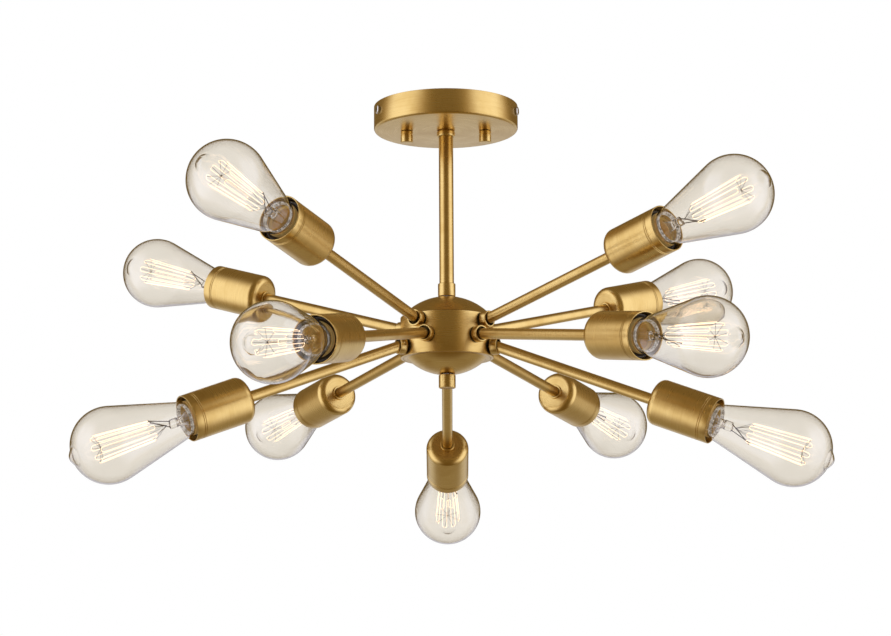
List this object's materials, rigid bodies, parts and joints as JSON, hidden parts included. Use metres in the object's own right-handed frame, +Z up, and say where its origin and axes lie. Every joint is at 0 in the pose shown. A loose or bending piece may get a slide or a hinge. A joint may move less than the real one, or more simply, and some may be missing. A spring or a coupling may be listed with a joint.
{
  "type": "multi arm chandelier",
  "caption": "Ceiling chandelier with a round hub on a short stem, bent arms on three tiers, deep metal socket cups and clear globe filament lamps.",
  "frame": {"origin": "centre of the ceiling plane, which the canopy's rim touches, on the stem's axis", "axes": "+Z up into the ceiling along the stem, +X to the right of the front view through the right cap nut, +Y to the back"},
  "size_m": [0.622, 0.6586, 0.3581],
  "materials": {
    "brass": "brushed, lightly aged",
    "plated_steel": "zinc plated",
    "nickel_screw": "bright nickel plated",
    "lampholder_black": "moulded, semi-gloss",
    "lamp_glass": "clear, very light amber tint"
  },
  "bodies": {
    "fixture": {"mounting_plate": "plated_steel", "plate_stud_left": "plated_steel", "plate_stud_right": "plated_steel", "stem": "brass", "stem_coupling": "brass", "hub_band": "brass", "hub_top_dome": "brass", "hub_bottom_dome": "brass", "hub_tie_rod": "plated_steel", "bottom_finial": "brass", "arm_01": "brass", "socket_cup_01": "brass", "lampholder_01": "lampholder_black", "arm_02": "brass", "socket_cup_02": "brass", "lampholder_02": "lampholder_black", "arm_03": "brass", "socket_cup_03": "brass", "lampholder_03": "lampholder_black", "arm_04": "brass", "socket_cup_04": "brass", "lampholder_04": "lampholder_black", "arm_05": "brass", "socket_cup_05": "brass", "lampholder_05": "lampholder_black", "arm_06": "brass", "socket_cup_06": "brass", "lampholder_06": "lampholder_black", "arm_07": "brass", "socket_cup_07": "brass", "lampholder_07": "lampholder_black", "arm_08": "brass", "socket_cup_08": "brass", "lampholder_08": "lampholder_black", "arm_09": "brass", "socket_cup_09": "brass", "lampholder_09": "lampholder_black", "arm_10": "brass", "socket_cup_10": "brass", "lampholder_10": "lampholder_black", "arm_11": "brass", "socket_cup_11": "brass", "lampholder_11": "lampholder_black"},
    "canopy": {"canopy": "brass", "canopy_bushing": "brass"},
    "cap_nut_left": {"cap_nut_left": "brass"},
    "cap_nut_right": {"cap_nut_right": "brass"},
    "canopy_screw_left": {"canopy_screw_left": "nickel_screw"},
    "canopy_screw_right": {"canopy_screw_right": "nickel_screw"},
    "bulb_01": {"bulb_01": "lamp_glass"},
    "bulb_02": {"bulb_02": "lamp_glass"},
    "bulb_03": {"bulb_03": "lamp_glass"},
    "bulb_04": {"bulb_04": "lamp_glass"},
    "bulb_05": {"bulb_05": "lamp_glass"},
    "bulb_06": {"bulb_06": "lamp_glass"},
    "bulb_07": {"bulb_07": "lamp_glass"},
    "bulb_08": {"bulb_08": "lamp_glass"},
    "bulb_09": {"bulb_09": "lamp_glass"},
    "bulb_10": {"bulb_10": "lamp_glass"},
    "bulb_11": {"bulb_11": "lamp_glass"}
  },
  "joints": [
    {"name": "canopy_lower", "type": "slide", "parent": "fixture", "child": "canopy", "axis": [0, 0, -1], "range_m": [0, 0.1]},
    {"name": "cap_nut_left_off", "type": "slide", "parent": "canopy", "child": "cap_nut_left", "axis": [0, 0, -1], "range_m": [0, 0.01]},
    {"name": "cap_nut_right_off", "type": "slide", "parent": "canopy", "child": "cap_nut_right", "axis": [0, 0, -1], "range_m": [0, 0.01]},
    {"name": "canopy_screw_left_out", "type": "slide", "parent": "canopy", "child": "canopy_screw_left", "axis": [-0.9272, -0.3746, 0], "range_m": [0, 0.004]},
    {"name": "canopy_screw_right_out", "type": "slide", "parent": "canopy", "child": "canopy_screw_right", "axis": [0.9703, -0.2419, 0], "range_m": [0, 0.004]},
    {"name": "bulb_01_out", "type": "slide", "parent": "fixture", "child": "bulb_01", "axis": [0.7433, 0.6237, 0.2419], "range_m": [0, 0.03]},
    {"name": "bulb_02_out", "type": "slide", "parent": "fixture", "child": "bulb_02", "axis": [-0.8304, 0.4794, 0.284], "range_m": [0, 0.03]},
    {"name": "bulb_03_out", "type": "slide", "parent": "fixture", "child": "bulb_03", "axis": [-0.5142, -0.8229, 0.2419], "range_m": [0, 0.03]},
    {"name": "bulb_04_out", "type": "slide", "parent": "fixture", "child": "bulb_04", "axis": [0.6935, -0.6815, 0.2334], "range_m": [0, 0.03]},
    {"name": "bulb_05_out", "type": "slide", "parent": "fixture", "child": "bulb_05", "axis": [0.4882, 0.8629, -0.1305], "range_m": [0, 0.03]},
    {"name": "bulb_06_out", "type": "slide", "parent": "fixture", "child": "bulb_06", "axis": [-0.5032, 0.8543, -0.1305], "range_m": [0, 0.03]},
    {"name": "bulb_07_out", "type": "slide", "parent": "fixture", "child": "bulb_07", "axis": [-0.4077, -0.8947, -0.1822], "range_m": [0, 0.03]},
    {"name": "bulb_08_out", "type": "slide", "parent": "fixture", "child": "bulb_08", "axis": [0.6224, -0.7686, -0.1478], "range_m": [0, 0.03]},
    {"name": "bulb_09_out", "type": "slide", "parent": "fixture", "child": "bulb_09", "axis": [0, 0.9205, -0.3907], "range_m": [0, 0.03]},
    {"name": "bulb_10_out", "type": "slide", "parent": "fixture", "child": "bulb_10", "axis": [-0.8426, -0.4019, -0.3584], "range_m": [0, 0.03]},
    {"name": "bulb_11_out", "type": "slide", "parent": "fixture", "child": "bulb_11", "axis": [0.8686, -0.3334, -0.3665], "range_m": [0, 0.03]}
  ]
}
